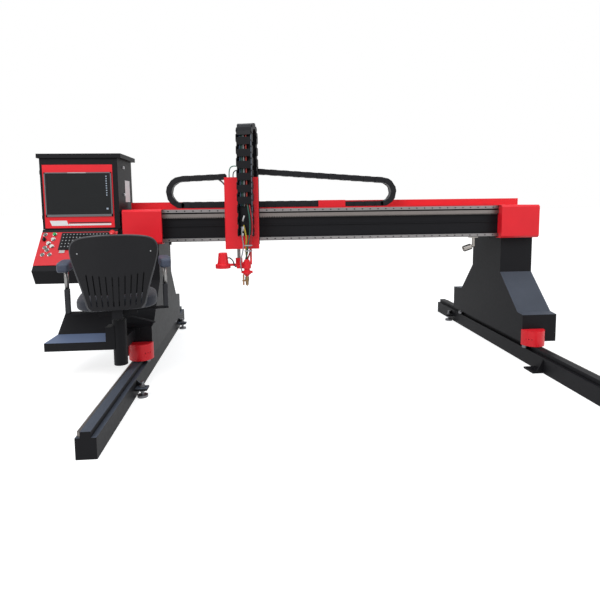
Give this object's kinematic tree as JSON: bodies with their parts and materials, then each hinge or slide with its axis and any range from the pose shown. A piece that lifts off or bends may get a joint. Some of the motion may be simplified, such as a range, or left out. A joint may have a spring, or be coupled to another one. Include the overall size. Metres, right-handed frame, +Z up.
{
  "type": "gantry torch cutting machine",
  "caption": "Rolling gantry on floor rails with a torch carriage on its beam, drag chains, a side console with desk and an operator's seat.",
  "frame": {"origin": "on the floor, midway across the whole machine and midway along the floor rails", "axes": "+X along the beam away from the console, +Y along the floor rails away from the operator's side, +Z up"},
  "size_m": [3.669, 2.68, 1.7356],
  "materials": {
    "black_paint": "satin black powder coat",
    "red_paint": "satin red powder coat",
    "bare_steel": "machined",
    "truck_steel": "dark machined",
    "chrome": "polished",
    "motor": "matt black",
    "chain": "moulded black",
    "hose": "smooth hose",
    "brass": "turned",
    "screen": "glossy bezel and screen",
    "keys": "moulded",
    "green_cap": "glossy",
    "red_cap": "glossy",
    "button_metal": "satin",
    "seat_shell": "textured black",
    "seat_cloth": "woven",
    "arm_plastic": "moulded"
  },
  "bodies": {
    "rails": {"left_rail": "black_paint", "right_rail": "black_paint", "track_racks": "bare_steel", "levelling_feet": "bare_steel"},
    "gantry": {"left_leg": "black_paint", "right_leg": "black_paint", "trucks": "truck_steel", "nose_guards": "red_paint", "guide_rollers": "bare_steel", "drive_motors": "motor", "beam": "black_paint", "guide_rails": "bare_steel", "beam_rack": "bare_steel", "end_covers": "red_paint", "chain_tray": "red_paint", "side_lamp": "chrome", "chain_lower_runs": "chain", "console_cabinet": "black_paint", "desk": "black_paint", "desk_panel": "red_paint", "keyboard": "keys", "footrest": "black_paint", "seat_post": "black_paint"},
    "left_front_wheel": {"left_front_wheel": "bare_steel"},
    "left_rear_wheel": {"left_rear_wheel": "bare_steel"},
    "right_front_wheel": {"right_front_wheel": "bare_steel"},
    "right_rear_wheel": {"right_rear_wheel": "bare_steel"},
    "left_pinion": {"left_pinion": "bare_steel"},
    "right_pinion": {"right_pinion": "bare_steel"},
    "chain_loops": {"chain_bends": "chain"},
    "carriage": {"carriage_plate": "black_paint", "guide_blocks": "bare_steel", "carriage_cover": "red_paint", "carriage_motors": "motor", "carriage_cables": "hose", "chain_upper_runs": "chain", "lift_chain": "chain"},
    "carriage_pinion": {"carriage_pinion": "bare_steel"},
    "lift_screw": {"lift_screw": "chrome"},
    "torch": {"torch_slide": "bare_steel", "torch_clamp": "red_paint", "torch_body": "red_paint", "torch_tips": "brass", "torch_hoses": "hose", "sensor_lamp": "red_paint"},
    "door": {"console_door": "black_paint", "console_fascia": "red_paint", "monitor": "screen"},
    "emergency_stop": {"emergency_stop": "red_cap"},
    "mode_knob": {"mode_knob": "keys"},
    "start_button": {"start_button": "green_cap"},
    "push_button_1": {"push_button_1": "button_metal"},
    "push_button_2": {"push_button_2": "button_metal"},
    "push_button_3": {"push_button_3": "button_metal"},
    "seat_lift": {"seat_lift": "chrome"},
    "seat": {"seat_frame": "black_paint", "seat_cushion": "seat_cloth", "seat_back": "seat_shell", "armrests": "arm_plastic"},
    "seat_lever": {"seat_lever": "chrome"}
  },
  "joints": [
    {"name": "gantry_slide", "type": "slide", "parent": "rails", "child": "gantry", "axis": [0, 1, 0], "range_m": [-0.95, 0.45]},
    {"name": "carriage_slide", "type": "slide", "parent": "gantry", "child": "carriage", "axis": [1, 0, 0], "range_m": [-0.42, 1.8], "deforming": ["chain_lower_runs", "chain_upper_runs"]},
    {"name": "chain_slide", "type": "slide", "parent": "gantry", "child": "chain_loops", "axis": [1, 0, 0], "range_m": [-0.212, 0.902]},
    {"name": "torch_lift", "type": "slide", "parent": "carriage", "child": "torch", "axis": [0, 0, 1], "range_m": [-0.08, 0.05], "deforming": ["lift_chain"]},
    {"name": "carriage_pinion_spin", "type": "hinge", "parent": "carriage", "child": "carriage_pinion", "pos_m": [-0.3505, 0, 1.049], "axis": [0, 1, 0], "continuous": true},
    {"name": "lift_screw_spin", "type": "hinge", "parent": "carriage", "child": "lift_screw", "pos_m": [-0.4495, -0.118, 1], "axis": [0, 0, 1], "continuous": true},
    {"name": "door_hinge", "type": "hinge", "parent": "gantry", "child": "door", "pos_m": [-1.8275, -0.03, 1.265], "axis": [0, 0, 1], "range_deg": [-100, 0]},
    {"name": "seat_height", "type": "slide", "parent": "gantry", "child": "seat_lift", "axis": [0, 0, 1], "range_m": [-0.03, 0.06]},
    {"name": "seat_swivel", "type": "hinge", "parent": "seat_lift", "child": "seat", "pos_m": [-1.1905, -0.53, 0.53], "axis": [0, 0, 1], "range_deg": [-45, 25]},
    {"name": "seat_lever_pivot", "type": "hinge", "parent": "seat", "child": "seat_lever", "pos_m": [-1.11535, -0.5834, 0.505], "axis": [-0.2419, 0.9703, 0], "range_deg": [-12, 0]},
    {"name": "mode_turn", "type": "hinge", "parent": "gantry", "child": "mode_knob", "pos_m": [-1.7955, -0.11405, 0.94547], "axis": [0, -0.787, 0.617], "range_deg": [-60, 60]},
    {"name": "left_front_wheel_spin", "type": "hinge", "parent": "gantry", "child": "left_front_wheel", "pos_m": [-1.1305, -0.205, 0.1963], "axis": [1, 0, 0], "continuous": true},
    {"name": "left_rear_wheel_spin", "type": "hinge", "parent": "gantry", "child": "left_rear_wheel", "pos_m": [-1.1305, 0.745, 0.1963], "axis": [1, 0, 0], "continuous": true},
    {"name": "right_front_wheel_spin", "type": "hinge", "parent": "gantry", "child": "right_front_wheel", "pos_m": [1.6695, -0.205, 0.1963], "axis": [1, 0, 0], "continuous": true},
    {"name": "right_rear_wheel_spin", "type": "hinge", "parent": "gantry", "child": "right_rear_wheel", "pos_m": [1.6695, 0.745, 0.1963], "axis": [1, 0, 0], "continuous": true},
    {"name": "left_pinion_spin", "type": "hinge", "parent": "gantry", "child": "left_pinion", "pos_m": [-1.21, 0.268, 0.118], "axis": [0, 0, 1], "continuous": true},
    {"name": "right_pinion_spin", "type": "hinge", "parent": "gantry", "child": "right_pinion", "pos_m": [1.749, 0.268, 0.118], "axis": [0, 0, 1], "continuous": true},
    {"name": "start_button_press", "type": "slide", "parent": "gantry", "child": "start_button", "axis": [0, 0.787, -0.617], "range_m": [0, 0.004], "stiffness_N_per_m": 800, "springref_m": -0.002},
    {"name": "push_button_1_press", "type": "slide", "parent": "gantry", "child": "push_button_1", "axis": [0, 0.787, -0.617], "range_m": [0, 0.004], "stiffness_N_per_m": 800, "springref_m": -0.002},
    {"name": "push_button_2_press", "type": "slide", "parent": "gantry", "child": "push_button_2", "axis": [0, 0.787, -0.617], "range_m": [0, 0.004], "stiffness_N_per_m": 800, "springref_m": -0.002},
    {"name": "push_button_3_press", "type": "slide", "parent": "gantry", "child": "push_button_3", "axis": [0, 0.787, -0.617], "range_m": [0, 0.004], "stiffness_N_per_m": 800, "springref_m": -0.002},
    {"name": "emergency_stop_press", "type": "slide", "parent": "gantry", "child": "emergency_stop", "axis": [0, 0.787, -0.617], "range_m": [0, 0.006], "stiffness_N_per_m": 800, "springref_m": -0.002}
  ],
  "couplings": [
    {"joint": "left_front_wheel_spin", "follows": "gantry_slide", "rad_per_m": -16.584},
    {"joint": "left_rear_wheel_spin", "follows": "gantry_slide", "rad_per_m": -16.584},
    {"joint": "right_front_wheel_spin", "follows": "gantry_slide", "rad_per_m": -16.584},
    {"joint": "right_rear_wheel_spin", "follows": "gantry_slide", "rad_per_m": -16.584},
    {"joint": "left_pinion_spin", "follows": "gantry_slide", "rad_per_m": -27.778},
    {"joint": "right_pinion_spin", "follows": "gantry_slide", "rad_per_m": 27.778},
    {"joint": "chain_slide", "follows": "carriage_slide", "ratio": 0.5},
    {"joint": "carriage_pinion_spin", "follows": "carriage_slide", "rad_per_m": -31.25},
    {"joint": "lift_screw_spin", "follows": "torch_lift", "rad_per_m": 314.16}
  ]
}
